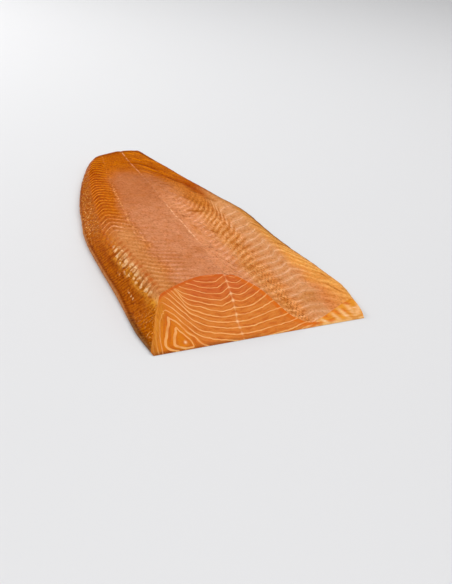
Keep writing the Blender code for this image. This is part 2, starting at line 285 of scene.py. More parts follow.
# Broad patches of browner, more golden flesh, in the same way.
PATCHES = (
    (8.0, 0.9, ((-8, 360), (2, 354), (14, 348), (26, 340), (40, 326))),
    (7.0, 0.9, ((6, 390), (14, 382), (26, 372), (38, 362))),
    (6.0, 0.8, ((-53, 400), (-60, 362), (-66, 325))),
    (8.0, 1.0, ((18, 286), (26, 270), (36, 258), (50, 248))),
    (5.0, 1.0, ((4, 222), (16, 226), (28, 232), (42, 240))),
    (6.0, 1.0, ((26, 152), (36, 158), (50, 164))),
    (5.0, 0.9, ((10, 174), (20, 176), (32, 180))),
    (6.0, 1.0, ((34, 338), (42, 318), (54, 296), (64, 272))),
    (5.0, 0.9, ((40, 24), (44, 40), (50, 60))),
    (6.0, 0.9, ((14, 94), (28, 98), (42, 112))),
    (5.0, 0.7, ((60, 40), (72, 46), (84, 44))),
    (5.0, 0.9, ((-4, 150), (-5, 165), (-6, 185))),
    (6.0, 1.0, ((40, 422), (31, 430), (18, 438))),
    (6.0, 1.0, ((-10, 408), (-6, 395), (-2, 378), (-12, 370))),
    (8.0, 1.0, ((-32, 424), (-16, 430), (-10, 423), (-18, 414))),
    (5.0, 0.6, ((4, 258), (12, 264), (20, 270))),
)


# ---------------------------------------------------------------- small tools

def mean_slope(before, after, early=1.0, late=1.0):
    """A slope between two others that keeps a curve from overshooting: none where they disagree."""
    with np.errstate(divide="ignore", invalid="ignore"):
        mean = (early + late) / (early / before + late / after)
    return np.where(before * after > 0, mean, 0.0)


def curve(t, start, end, leaving, arriving):
    """The value at t, from 0 to 1, between two ends whose slopes are given."""
    return ((1 + 2 * t) * (1 - t) ** 2 * start + t * (1 - t) ** 2 * leaving
            + t * t * (3 - 2 * t) * end + t * t * (t - 1) * arriving)


def smooth_line(points, places):
    """Values at the places on a smooth line through the points that never overshoots them."""
    x, y = np.array(points, float).T
    step = np.diff(x)
    rise = np.diff(y) / step
    early, late = 2 * step[1:] + step[:-1], step[1:] + 2 * step[:-1]
    slope = np.concatenate((rise[:1], mean_slope(rise[:-1], rise[1:], early, late), rise[-1:]))
    at = np.clip(np.asarray(places, float), x[0], x[-1])
    i = np.clip(np.searchsorted(x, at, side="right") - 1, 0, len(step) - 1)
    return curve((at - x[i]) / step[i], y[i], y[i + 1], step[i] * slope[i], step[i] * slope[i + 1])


def ramp(value, start, end):
    """Rises softly from 0 at start to 1 at end. End may be the lower of the two."""
    t = np.clip((value - start) / (end - start), 0.0, 1.0)
    return t * t * (3 - 2 * t)


def bump(value, centre, width):
    """A soft hill of height 1 round the centre."""
    return np.exp(-((value - centre) / width) ** 2)


def cloud(seed, a, b):
    """Smooth random heights from about -1 to 1 over the plane of a and b, with lumps one unit wide."""
    size = 256
    table = np.random.default_rng(seed).uniform(-1, 1, (size, size))
    i, j = np.floor(a).astype(int), np.floor(b).astype(int)
    u, v = ramp(a - i, 0, 1), ramp(b - j, 0, 1)
    near, far = (table[k % size, j % size] * (1 - v) + table[k % size, (j + 1) % size] * v
                 for k in (i, i + 1))
    return near * (1 - u) + far * u


def near_path(path, x, s):
    """Distance of each point from a smooth path, and how far along the path it is, from 0 to 1."""
    count = np.linspace(0, 1, len(path))
    fine = np.linspace(0, 1, PATH_STEPS)
    across, along = (smooth_line(tuple(zip(count, part)), fine) for part in zip(*path))
    away = np.full(x.shape, FAR_AWAY)
    at = np.zeros(x.shape)
    for t, path_x, path_s in zip(fine, across, along):
        d = np.hypot(x - path_x, s - path_s)
        at = np.where(d < away, t, at)
        away = np.minimum(away, d)
    return away, at


def paint(code):
    """A colour of a display, given as 0xRRGGBB, as Blender's linear colour."""
    parts = [(code >> shift & 255) / 255 for shift in (16, 8, 0)]
    return tuple(c / 12.92 if c <= 0.04045 else ((c + 0.055) / 1.055) ** 2.4 for c in parts)


def tone(colour):
    """A colour for the shader, from the name of a tone, a coat or a plain colour."""
    if isinstance(colour, str):
        return paint(TONES[colour])
    return getattr(colour, "colour", colour)


# ---------------------------------------------------------------- what a user would change

def length_setting(name, description, default, least=0.0, most=0.003):
    return FloatProperty(name=name, description=description, default=default, min=least, max=most,
                         precision=5, unit="LENGTH")


def colour_setting(name, description, default):
    return FloatVectorProperty(name=name, description=description, default=default,
                               subtype="COLOR", min=0, max=1)


def power_setting(name, description, default):
    return FloatProperty(name=name, description=description, default=default, min=0.0, max=200.0,
                         unit="POWER")


class SalmonSizes(bpy.types.PropertyGroup):
    fat_width: length_setting("Fat line", "Width of a fat line on the cut face", 0.0010, 0.0002, 0.004)
    shoulder_ridges: length_setting(
        "Shoulder ridges", "Height of the muscle ends along the shoulder", 0.0009)
    surface_lines: length_setting(
        "Surface lines", "Height of the muscle lines on the smoked surface", 0.00035)
    wrinkles: length_setting("Wrinkles", "Depth of the dried surface's folds and wrinkles", 0.0007)
    lumps: length_setting("Lumps", "Height of the flesh's soft unevenness", 0.00035)


class SalmonColours(bpy.types.PropertyGroup):
    flesh: colour_setting("Flesh", "Moist flesh on the cut face", paint(0xD97C2A))
    core: colour_setting("Core", "Yellower flesh of the thick back", paint(0xDA7901))
    red: colour_setting("Red flesh", "Redder flesh at the top of the cut face", paint(0xD06423))
    fat: colour_setting("Fat", "Fat between the muscle blocks", paint(0xF5B068))
    rim: colour_setting("Rim", "Dried rim of the cut face", paint(0xCC5A02))
    # The haze colour is partly the dried film's own and partly painted sheen.
    haze: colour_setting("Haze", "Pale film over the middle of the smoked surface", paint(0xC78056))
    smoked: colour_setting("Smoked surface", "Smoked flesh on the back and the tail", paint(0xB85E0B))
    belly: colour_setting("Belly", "Paler, yellower flesh of the belly", paint(0xD18046))
    wall: colour_setting("Side of the back", "Dark, glossy smoked side of the thick back", paint(0xAB5606))
    foot: colour_setting("Foot", "Paler strip where the skin was trimmed away", paint(0xB27444))
    under: colour_setting("Underside", "Flesh under the trimmed skin", paint(0xC08A58))


class SalmonStage(bpy.types.PropertyGroup):
    floor: colour_setting("Floor", "Colour of the plain floor", (0.70, 0.70, 0.71))
    sky: FloatProperty(
        name="Room light", description="Strength of the even light from all round",
        default=0.46, min=0.0, max=4.0)
    overhead: power_setting("Overhead light", "Power of the large soft light above", 12.0)
    fill: power_setting("Front light", "Power of the soft light on the cut face and the back's side", 13.0)
    glint: power_setting("Back light", "Power of the small light that glints on the shoulder", 14.0)
    camera_place: FloatVectorProperty(
        name="Camera", description="Where the camera stands",
        subtype="TRANSLATION", unit="LENGTH", default=(-0.3581, -0.7837, 0.4481))
    camera_turn: FloatVectorProperty(
        name="Camera angles", description="How the camera is turned",
        subtype="EULER", unit="ROTATION",
        default=tuple(math.radians(a) for a in (58.477, -6.167, -24.947)))
    camera_lens: FloatProperty(
        name="Lens", description="Focal length of the camera, in millimetres",
        default=50.43, min=10.0, max=300.0)


# ---------------------------------------------------------------- the body's surface

def named_lines(along):
    """Across and up of the thirteen named lines at each place, one row for each line."""
    def at(line):
        return smooth_line(line, along)

    back, belly = at(BACK_EDGE), at(BELLY_EDGE)
    lip, shoulder, crest = at(BACK_LIP_Z), at(SHOULDER_Z), at(CREST_Z)
    across = (back + at(BACK_FOOT_IN), back, back + at(WALL_BULGE) * at(SHOULDER_IN),
              back + at(SHOULDER_IN), back + at(BACK_IN), at(CREST_X), at(MIDDLE_X), at(FLANK_X),
              at(BANK_X), at(HOLLOW_X), belly - at(BELLY_IN), belly, belly - at(BELLY_FOOT_IN))
    up = (0 * along, lip, lip + BULGE_SHARE * (shoulder - lip), shoulder, at(BACK_Z), crest,
          crest - at(MIDDLE_DROP), at(FLANK_Z), at(BANK_Z), at(HOLLOW_Z), at(BELLY_Z),
          at(BELLY_LIP_Z), 0 * along)
    return np.array(across), np.array(up)


def between_lines(values, u):
    """Smooth values at u, counted in named lines, from one row of values for each line."""
    rise = np.diff(values, axis=0)
    slope = np.concatenate((rise[:1], mean_slope(rise[:-1], rise[1:]), rise[-1:]))
    i = np.clip(u.astype(int), 0, len(values) - 2)
    n = np.arange(len(u))
    return curve(u - i, values[i, n], values[i + 1, n], slope[i, n], slope[i + 1, n])


def surface(u, along):
    """Across and up on the smooth surface, at u named lines from the back's foot."""
    across, up = (between_lines(lines, u) for lines in named_lines(along))
    return across, up - GROOVE_DEPTH * bump(across, smooth_line(MIDDLE_X, along), GROOVE_WIDTH)


def columns():
    """Places across the surface, counted in named lines."""
    steps = [i + k / n for i, n in enumerate(FACES_ACROSS) for k in range(n)]
    return np.array(steps + [len(FACES_ACROSS)])


def crease_places(u):
    """Where along the fish the slanted knife meets the surface, for each column."""
    along = np.zeros_like(u)
    for _ in range(SETTLE_STEPS):
        _, up = surface(u, along)
        up[[0, -1]] = 0.0
        along = up / KNIFE_RISE
    return along


def trim_places(u):
    """Where along the fish the tail's trim meets the surface, for each column."""
    along = np.full_like(u, TAIL_MIDDLE)
    for _ in range(SETTLE_STEPS):
        across, _ = surface(u, along)
        along = TAIL_MIDDLE + TAIL_RISE * across
    return along


def smoked_grid():
    """The smoked surface as a grid of rows along and columns across, before any relief."""
    u = columns()
    start, end = crease_places(u), trim_places(u)
    share = np.linspace(0, 1, ROWS_ALONG + 1)[:, None]
    along = start + (end - start) * share
    grid_u = np.broadcast_to(u, along.shape)
    across, up = (part.reshape(along.shape) for part in surface(grid_u.ravel(), along.ravel()))
    up[:, 0] = up[:, -1] = 0.0
    return grid_u, across, along, up


def grid_normals(points):
    """Outward directions on a grid of points."""
    normal = np.cross(np.gradient(points, axis=1), np.gradient(points, axis=0))
    return normal / np.maximum(np.linalg.norm(normal, axis=2, keepdims=True), TINY)


# ---------------------------------------------------------------- lines on the smoked surface

def back_lines(x, s):
    """Counts the muscle lines of the back."""
    away = x - smooth_line(BACK_TOP_X, s)
    bend = np.hypot(away, BACK_TOP_ROUND) - BACK_TOP_ROUND
    inner = smooth_line(BACK_INNER_SLOPE, s) * BACK_REACH * (1 - np.exp(-bend / BACK_REACH))
    outer = smooth_line(BACK_OUTER_SLOPE, s) * bend
    sway = 1.2 * cloud(3, x / 13, s / 13)
    return smooth_line(BACK_COUNT, s + sway + np.where(away > 0, inner, outer))


def muscle_lines(x, s):
    """Counts the muscle lines of the flank and the belly."""
    return count_lines(MUSCLE_LINES, x, s + cloud(5, x / 15, s / 15))


def line_gap(points, count):
    """Distance on the surface from one line to the next, at each point of the grid."""
    down, over = np.gradient(points, axis=0), np.gradient(points, axis=1)
    a, b, c = (down * down).sum(axis=2), (down * over).sum(axis=2), (over * over).sum(axis=2)
    p, q = np.gradient(count, axis=0), np.gradient(count, axis=1)
    slope = (c * p * p - 2 * b * p * q + a * q * q) / np.maximum(a * c - b * b, TINY)
    return 1 / np.sqrt(np.maximum(slope, 1e-4))


def surface_zones(u, x, s, edge_in):
    """How strongly each finish shows at each point of the smoked surface, from 0 to 1."""
    soft = 5 * cloud(11, x / 18, s / 18)
    patch = 6 * cloud(43, x / 7, s / 9)
    across, along = x + soft, s + soft      # the same places, with wavering borders
    wall = ramp(u, 3.05, 2.75)
    zone = {
        "wall": wall,
        **top_zones(x, s, across, along, patch, wall),
        **side_zones(u, x, s, along, wall),
        **rim_zones(u, x, s, along, edge_in, soft, patch, wall),
        **line_zones(u, x, s, across, along),
    }
    return {name: np.clip(value, 0, 1) for name, value in zone.items()}


def top_zones(x, s, across, along, patch, wall):
    """The haze, the tan shoulder, the flank, the belly, the tail, and the marks on them."""
    back, flank = smooth_line(HAZE_BACK, s), smooth_line(HAZE_FLANK, s)
    spread = 4 * ramp(s, 210, 250)
    belly = ramp(across, 50, 66) * ramp(s, 330, 235)
    return {
        "haze": ramp(across, back - 8, back + 8) * ramp(across, flank + 14 + spread, flank - 8 - spread)
                * ramp(along + patch, HAZE_END[1], HAZE_END[0]),
        "far": ramp(along, 190, 290),
        "tan": (1 - wall) * ramp(along, 248, 170) * ramp(x, back + 9, back - 9),
        "flank": ramp(across, -2, 14) * ramp(along, 355, 300),
        "belly": belly,
        "belly_haze": belly * ramp(across, 92, 76),
        "edge": belly * ramp(across + 0.18 * s, 92, 118),
        "tail": ramp(along + 0.3 * x + patch, 320, 385),
        "folds": path_strength(FOLDS, x, s),
        "patches": path_strength(PATCHES, x + 0.5 * patch, along),
    }


def side_zones(u, x, s, along, wall):
    """The back's side, with its shoulder and its foot."""
    shoulder = x - smooth_line(BACK_EDGE, s) - smooth_line(SHOULDER_IN, s)
    blocks = ramp(s, 30, 95) * ramp(s, 206, 150) * (0.8 + 0.3 * cloud(59, s / 14, 0 * s))
    jagged = shoulder + 2.2 * cloud(73, s / 3.5, 0 * s)
    broad = bump(s, 112, 32)
    foot = u - 0.3 * ramp(s, 60, 110)
    return {
        "corner": wall * ramp(along, 70, 30),
        "rough": ramp(u, 3.3, 2.5) * ramp(along, 185, 225),
        # A golden band along the shoulder's edge, partly the flesh's colour and partly painted sheen.
        "gold": bump(shoulder, -3.5, 3.5) * ramp(along, 225, 190),
        "shoulder": bump(shoulder, 0.5 - broad, 4.3 + 2.2 * broad) * blocks,
        "commas": bump(shoulder, 6.8, 3.0) * blocks,
        "jag": bump(jagged, -8.5, 1.3) * blocks,
        "amber": bump(shoulder, -1, 7) * ramp(along, 135, 165) * ramp(s, 218, 198),
        "crown": bump(shoulder, -1, 4) * ramp(s, 64, 48),
        "foot": ramp(foot, 1.5, 1.25),
        "foot_line": bump(foot, 1.62, 0.14) * ramp(s, 10, 40),
        "foot_shade": ramp(u, 2.1, 1.4) * ramp(s, 80, 45),
    }


def rim_zones(u, x, s, along, edge_in, soft, patch, wall):
    """The edges of the belly, the back and the tail, with painted shade along their outer rims."""
    from_trim = TAIL_MIDDLE + TAIL_RISE * x - s
    return {
        "bank": ramp(edge_in + 0.5 * soft, 36, 22) * ramp(along, 238, 265),
        # Painted shade along the belly's outer edge.
        "brim": ramp(u + 0.02 * patch, 9.9, 10.5) * ramp(s, 110, 190),
        # A painted dark line of shade on the belly's outermost edge.
        "lip": ramp(u, 10.45, 10.75) * ramp(s, 60, 110),
        "pale_rim": ramp(edge_in, 8, 3) * ramp(s, 62, 40),
        # Painted shade along the back's and the tail's outer edges.
        "back_rim": ramp(u, 3.2, 2.4) * ramp(s, 270, 305),
        "tail_rim": np.maximum(ramp(from_trim, 10, 3), ramp(edge_in, 13, 7) * ramp(s, 375, 410))
                    * (1 - wall),
    }


def line_zones(u, x, s, across, along):
    """Where each kind of line or mark shows."""
    off_second = smooth_line(SECOND_LINE, s)
    strokes = ramp(u, 2.7, 3.2) * ramp(across, off_second + 7, off_second - 5) * ramp(s, 440, 400)
    outer = ramp(x - smooth_line(BACK_TOP_X, s), 14, 2)
    far = ramp(along, 180, 205)
    net = bump(x, 46 + 4 * ramp(s, 120, 170), 10) * ramp(s, 230, 150)
    near = ramp(along, 135, 100) * ramp(across, -38, -26)
    return {
        "strokes": strokes * far * (0.5 + 0.5 * outer),
        "arcs": ramp(u, 3.6, 4.3) * ramp(across, -42, -58) * (1 - far),
        "muscle_lines": ramp(x, -8, 8) * ramp(s, 300, 235) * ramp(u, 11.3, 10.9),
        "net": net * (0.35 + 0.65 * ramp(s, 130, 60)) * (0.9 + 0.4 * cloud(13, x / 9, s / 9)),
        "wrinkle": np.maximum(near, ramp(across, -24, -14)) * ramp(across, 34, 14) * ramp(s, 350, 335),
    }


def path_strength(paths, x, s):
    """How strongly a set of marks shows, from 0 to 1, each given as (width, strength, path)."""
    result = np.zeros_like(x)
    for width, strength, path in paths:
        away, at = near_path(path, x, s)
        ends = np.sin(math.pi * np.clip(at, 0.04, 0.96)) ** 0.6
        result = np.maximum(result, strength * bump(away, 0, width) * ends)
    return result


def surface_relief(sizes, u, x, s, zone, crease, counts):
    """Height of the smoked surface's relief at each point, in millimetres."""
    lines, wrinkles, lumps = sizes.surface_lines / MM, sizes.wrinkles / MM, sizes.lumps / MM
    back, block, muscle = (2 * math.pi * count for count in counts)
    block += 0.2 * math.pi * cloud(17, s / 9, u)
    uneven = 0.75 + 0.45 * cloud(53, x / 9, s / 12)
    furrows = ramp(cloud(47, (x + 0.6 * s) / 9, (s - 0.6 * x) / 4), 0.1, 0.5)
    relief = sizes.shoulder_ridges / MM * zone["shoulder"] * np.cos(block)
    relief += lines * (zone["strokes"] + 0.15 * zone["arcs"]) * np.cos(back) * uneven
    relief -= 0.45 * lines * zone["muscle_lines"] * np.cos(muscle) * uneven
    relief -= wrinkles * (1.2 * zone["folds"] + 0.8 * zone["wrinkle"] * furrows)
    relief += 0.5 * wrinkles * zone["rough"] * cloud(31, u * 2.2, s / 4.4)
    relief += lumps * (cloud(19, x / 26, s / 30) + 0.5 * cloud(23, x / 9, s / 13))
    relief += GRAIN_HEIGHT * cloud(29, x / 3.1, s / 2.6)
    edge = ramp(u, 0.2, 1.1) * ramp(u, 11.8, 10.9) * ramp(crease, 0, CREASE_FADE)
    return relief * edge


# ---------------------------------------------------------------- lines on the cut face

def count_lines(lines, run, rise):
    """Counts smooth lines upwards at each point, where each is given as (number, points)."""
    numbers = np.array([number for number, _ in lines], float)
    levels = np.array([smooth_line(points, run) for _, points in lines])
    i = np.clip((levels < rise).sum(axis=0) - 1, 0, len(lines) - 2)
    low, high = (np.take_along_axis(levels, k[None], axis=0)[0] for k in (i, i + 1))
    share = (rise - low) / np.maximum(high - low, 1e-6)
    return numbers[i] + (numbers[i + 1] - numbers[i]) * share


def fat_count(x, s):
    """Counts the fat lines outwards from the core in the thick back, and tells the legs apart."""
    lateral = smooth_line(LATERAL_LINE, s)
    reach = np.where(x < lateral, KINK_LEFT, KINK_RIGHT)
    kink = smooth_line(LATERAL_KINK, s) * np.clip(1 - np.abs(x - lateral) / reach, 0, 1)
    right = count_lines(FAT_RIGHT, x, s - kink)
    left = count_lines([(n, [(a, -b) for a, b in points]) for n, points in FAT_LEFT], s, -x)
    bottom = 1 + (CORE_BOTTOM - s) / CORE_BOTTOM_PITCH
    total = sum(np.exp(FAT_CORNER * (part - right)) for part in (right, left, bottom))
    return right + np.log(total) / FAT_CORNER, left - right


def fat_lines(x, s, from_wall):
    """The fat lines' count, gap, thickness, strength and stars at each point of the cut face."""
    count, outer = fat_count(x, s)
    step = 0.25
    slope_x, slope_s = ((fat_count(x + a, s + b)[0] - fat_count(x - a, s - b)[0]) / (2 * step)
                        for a, b in ((step, 0), (0, step)))
    slope = np.hypot(slope_x, slope_s * math.cos(math.radians(KNIFE_ANGLE)))
    leg = ramp(outer, -0.15, 0.15)
    near_core = ramp(count, 2.6, 2.2)
    strength = (1 - 0.4 * leg * ramp(count, 2.4, 3.2)) * ramp(x, 58, 50) * (1 - 0.15 * near_core)
    spot = bump(np.hypot(x - CORE_SPOT[0], s - CORE_SPOT[1]), 0, CORE_SPOT_SIZE)
    off_line = (count - np.round(count)) * FAT_PITCH
    stars = (bump(x - smooth_line(LATERAL_LINE, s), 0, STAR_SIZE) * bump(off_line, 0, STAR_SIZE)
             * ramp(count, 3.5, 3.9) * (0.75 + 0.35 * cloud(61, count, 0 * count)))
    return {
        "fat_count": count + 0.07 * cloud(37, x / 7, s / 5) + 0.04 * cloud(41, x / 2.6, s / 2.6),
        "fat_gap": 1 / np.maximum(slope, 0.02),
        "fat_thick": 1.1 + (1.0 * leg + 0.4) * near_core - 0.35 * ramp(s, 28, 52),
        "fat_strength": strength * (0.25 + 0.75 * ramp(from_wall, 3, 10)),
        "fat_star": np.maximum(spot, stars),
    }


def cut_finish(x, s, crease_x, crease_s):
    """The cut face's lines and zones at each point."""
    top = np.interp(x, crease_x, crease_s)
    tilt = np.interp(x, crease_x, np.gradient(crease_s, crease_x))
    side = sum(FACES_ACROSS[:CREST_STRIPS])
    from_wall = x - np.interp(s, crease_s[:side], crease_x[:side])
    from_top = (top - s) / np.sqrt(1 + tilt ** 2)
    return {
        **fat_lines(x, s, from_wall),
        "lateral": x - smooth_line(LATERAL_LINE, s),
        "rim": from_top - 1.4 * ramp(x, -20, 5) + 9 * ramp(x, 56, 66) + 9 * ramp(x, -92, -104),
        # A painted shadow along the bottom of the cut face, where it stands on the floor.
        "base": ramp(s, 4.0, 0.5) * ramp(x, 25, -40) * (0.75 + 0.4 * cloud(71, x / 9, 0 * x)),
        "belly_cut": ramp(x, 52, 66),
        "belly_pale": path_strength(BELLY_PALE, x, s),
        "belly_red": path_strength(BELLY_RED, x, s),
        "cut_core": ramp(x + 0.5 * s, -58, -84),
        "cut_corner": ramp(from_wall + 1.5 * cloud(67, x / 5, s / 9), 13, 4) * ramp(s, 52, 36),
        "cut_red": ramp(s, 28, 50) * ramp(x, -78, -56) * ramp(x, 30, 10),
        "fish_x": x,
        "fish_s": s,
    }


# ---------------------------------------------------------------- building the mesh

def fill_flat(outline, inside):
    """Triangles that fill a flat outline and use the points inside it. Both are 2D points."""
    points = [Vector(p) for p in (*outline, *inside)]
    _, _, faces, sources, _, _ = delaunay_2d_cdt(points, [], [list(range(len(outline)))],
                                                 FILL_INSIDE, SAME_POINT)
    return [[sources[i][0] for i in face] for face in faces]


def inner_points(outline, spacing):
    """A staggered pattern of points inside an outline, clear of its edge."""
    low, high = outline.min(axis=0), outline.max(axis=0)
    found = []
    for k, b in enumerate(np.arange(low[1] + spacing / 2, high[1], spacing * ROW_GAP)):
        a = np.arange(low[0] + spacing * (0.25 + 0.5 * (k % 2)), high[0], spacing)
        found.append(np.column_stack((a, np.full_like(a, b))))
    points = np.concatenate(found)
    return points[clear_inside(points, outline, EDGE_GAP * spacing)]


def clear_inside(points, outline, margin):
    """True for the points inside the outline that keep the margin to each of its edges."""
    inside = np.zeros(len(points), bool)
    away = np.full(len(points), FAR_AWAY)
    for (ax, ay), (bx, by) in zip(outline, np.roll(outline, -1, axis=0)):
        px, py = points[:, 0] - ax, points[:, 1] - ay
        dx, dy = bx - ax, by - ay
        long = max(dx * dx + dy * dy, TINY)
        t = np.clip((px * dx + py * dy) / long, 0, 1)
        away = np.minimum(away, np.hypot(px - t * dx, py - t * dy))
        crosses = (ay > points[:, 1]) != (by > points[:, 1])
        with np.errstate(divide="ignore", invalid="ignore"):
            reach = dx * (points[:, 1] - ay) / (by - ay)
        inside ^= crosses & (px < reach)
    return inside & (away > margin)


class Side:
    """Gathers the points, faces, finishes and attributes of the side of salmon."""

    def __init__(self):
        self.points, self.faces, self.finishes = [], [], []
        self.count = 0
        self.attributes = {}

    def add_points(self, points, values):
        """Adds points and their attributes, and returns the points' numbers."""
        numbers = np.arange(self.count, self.count + len(points))
        self.points.append(points)
        self.count += len(points)
        self.describe(numbers, values)
        return numbers

    def describe(self, numbers, values):
        """Gives points that are there already these attributes."""
        for name, value in values.items():
            self.attributes.setdefault(name, []).append((numbers, value))

    def add_faces(self, faces, finish):
        self.faces.extend(faces)
        self.finishes.extend([finish] * len(faces))

    def fill(self, outline, numbers, plane, spacing, finish, dress):
        """Fills a flat outline of points that are there already."""
        flat, back = plane
        inside = inner_points(flat(outline), spacing)
        inner = np.array([back(a, b) for a, b in inside])
        numbers = np.concatenate((numbers, self.add_points(inner, dress(inner))))
        faces = fill_flat(flat(outline).tolist(), inside.tolist())
        self.add_faces([tuple(int(numbers[i]) for i in face) for face in faces], finish)

    def close_end(self, edge, numbers, plane, spacing, finish, dress):
        """Fills one end between its curved edge and a straight base, and returns the base."""
        count = round((edge[-1, 0] - edge[0, 0]) / spacing)
        base = np.linspace(edge[0], edge[-1], count + 1)[1:-1]
        base_numbers = self.add_points(base, dress(base))
        self.fill(np.concatenate((edge, base[::-1])), np.concatenate((numbers, base_numbers[::-1])),
                  plane, spacing, finish, dress)
        return base, base_numbers

    def mesh(self, name, shift):
        mesh = bpy.data.meshes.new(name)
        points = np.concatenate(self.points) * MM + shift
        mesh.from_pydata(points.tolist(), [], self.faces)
        mesh.polygons.foreach_set("material_index", self.finishes)
        for label, parts in self.attributes.items():
            values = np.zeros(self.count, np.float32)
            for numbers, value in parts:
                values[numbers] = value
            mesh.attributes.new(label, "FLOAT", "POINT").data.foreach_set("value", values)
        return mesh


# The flat faces, each as two ways: from points in space to the plane, and from the plane back.
KNIFE_TURN = math.radians(KNIFE_ANGLE)
CUT_PLANE = (lambda p: np.column_stack((p[:, 0], np.hypot(p[:, 1], p[:, 2]))),
             lambda across, slope: (across, slope * math.cos(KNIFE_TURN), slope * math.sin(KNIFE_TURN)))
TRIM_PLANE = (lambda p: p[:, ::2],
              lambda across, up: (across, TAIL_MIDDLE + TAIL_RISE * across, up))
UNDER_PLANE = (lambda p: p[:, :2],
               lambda across, along: (across, along, 0.0))


def add_smoked_surface(side, sizes):
    """The smoked top and both walls. Returns the numbers of its points as a grid, and the points."""
    u, x, s, z = smoked_grid()
    points = np.stack((x, s, z), axis=2)
    back, muscle = back_lines(x, s), muscle_lines(x, s)
    shoulder = smooth_line(BACK_EDGE, s) + smooth_line(SHOULDER_IN, s)
    block = back_lines(shoulder + BLOCK_SLANT * (x - shoulder), s)
    edge_in = smooth_line(BELLY_EDGE, s) - x
    zone = surface_zones(u, x, s, edge_in)
    relief = surface_relief(sizes, u, x, s, zone, s - s[0], (back, block, muscle))
    values = {"fish_u": u, "fish_x": x, "fish_s": s, "edge_in": edge_in, "block_count": block,
              "back_count": back, "back_gap": line_gap(points, back),
              "muscle_count": muscle, "muscle_gap": line_gap(points, muscle),
              "middle": x - smooth_line(MIDDLE_X, s), "second": x - smooth_line(SECOND_LINE, s), **zone}
    points = points + grid_normals(points) * relief[:, :, None]
    numbers = side.add_points(points.reshape(-1, 3), {name: v.ravel() for name, v in values.items()})
    numbers = numbers.reshape(u.shape)
    wet = sum(FACES_ACROSS[:WET_STRIPS])
    for start, stop, finish in ((0, wet, WET_SIDE), (wet, u.shape[1] - 1, TOP)):
        part = numbers[:, start:stop + 1]
        corners = (part[:-1, :-1], part[:-1, 1:], part[1:, 1:], part[1:, :-1])
        side.add_faces(list(zip(*(corner.ravel().tolist() for corner in corners))), finish)
    return numbers, points


def build_side(sizes):
    """The whole side of salmon, as one closed mesh."""
    side = Side()
    grid, points = add_smoked_surface(side, sizes)
    crease, tail = points[0], points[-1]

    def cut_dress(p):
        return cut_finish(p[:, 0], p[:, 1], crease[:, 0], crease[:, 1])

    def plain(p):
        return {"fish_x": p[:, 0], "fish_s": p[:, 1]}

    front, front_numbers = side.close_end(crease, grid[0], CUT_PLANE, CUT_GRAIN, CUT, cut_dress)
    side.describe(grid[0], cut_dress(crease))
    end, end_numbers = side.close_end(tail, grid[-1], TRIM_PLANE, END_GRAIN, TRIM, plain)
    outline = np.concatenate((points[:, 0], end, points[::-1, -1], front[::-1]))
    numbers = np.concatenate((grid[:, 0], end_numbers, grid[::-1, -1], front_numbers[::-1]))
    side.fill(outline, numbers, UNDER_PLANE, UNDER_GRAIN, UNDER, plain)
    return side


def finish_mesh(mesh):
    """Turns all faces outwards, hardens the edges between finishes and checks that it is closed."""
    bm = bmesh.new()
    bm.from_mesh(mesh)
    bmesh.ops.recalc_face_normals(bm, faces=bm.faces)
    soft_pair = {TOP, WET_SIDE}
    for edge in bm.edges:
        if len(edge.link_faces) != 2:
            raise RuntimeError("the side of salmon isn't one closed body")
        finishes = {face.material_index for face in edge.link_faces}
        edge.smooth = len(finishes) == 1 or finishes == soft_pair
    for face in bm.faces:
        face.smooth = True
    bm.to_mesh(mesh)
    bm.free()


# ---------------------------------------------------------------- finishes

# How rough and how glossy each finish is, and how much light passes through it.
SHINE = {
    "smoked_top": (0.45, 0.005, 0.12),
    "smoked_side": (0.30, 0.012, 0.12),
    "cut_flesh": (0.36, 0.12, 0.22),
    "tail_trim": (0.42, 0.1, 0.15),
    "underside": (0.45, 0.5, 0.0),
    "floor": (0.7, 0.2, 0.0),
}
GLOW_DEPTH = 0.004        # how deep light passes into flesh, in metres
GLOW_TONE = (1.0, 0.35, 0.15)                                 # and how much of each colour does
MIX_SHARE, MIX_UNDER, MIX_OVER, MIX_RESULT = 0, 6, 7, 2       # a Mix node's sockets for colours


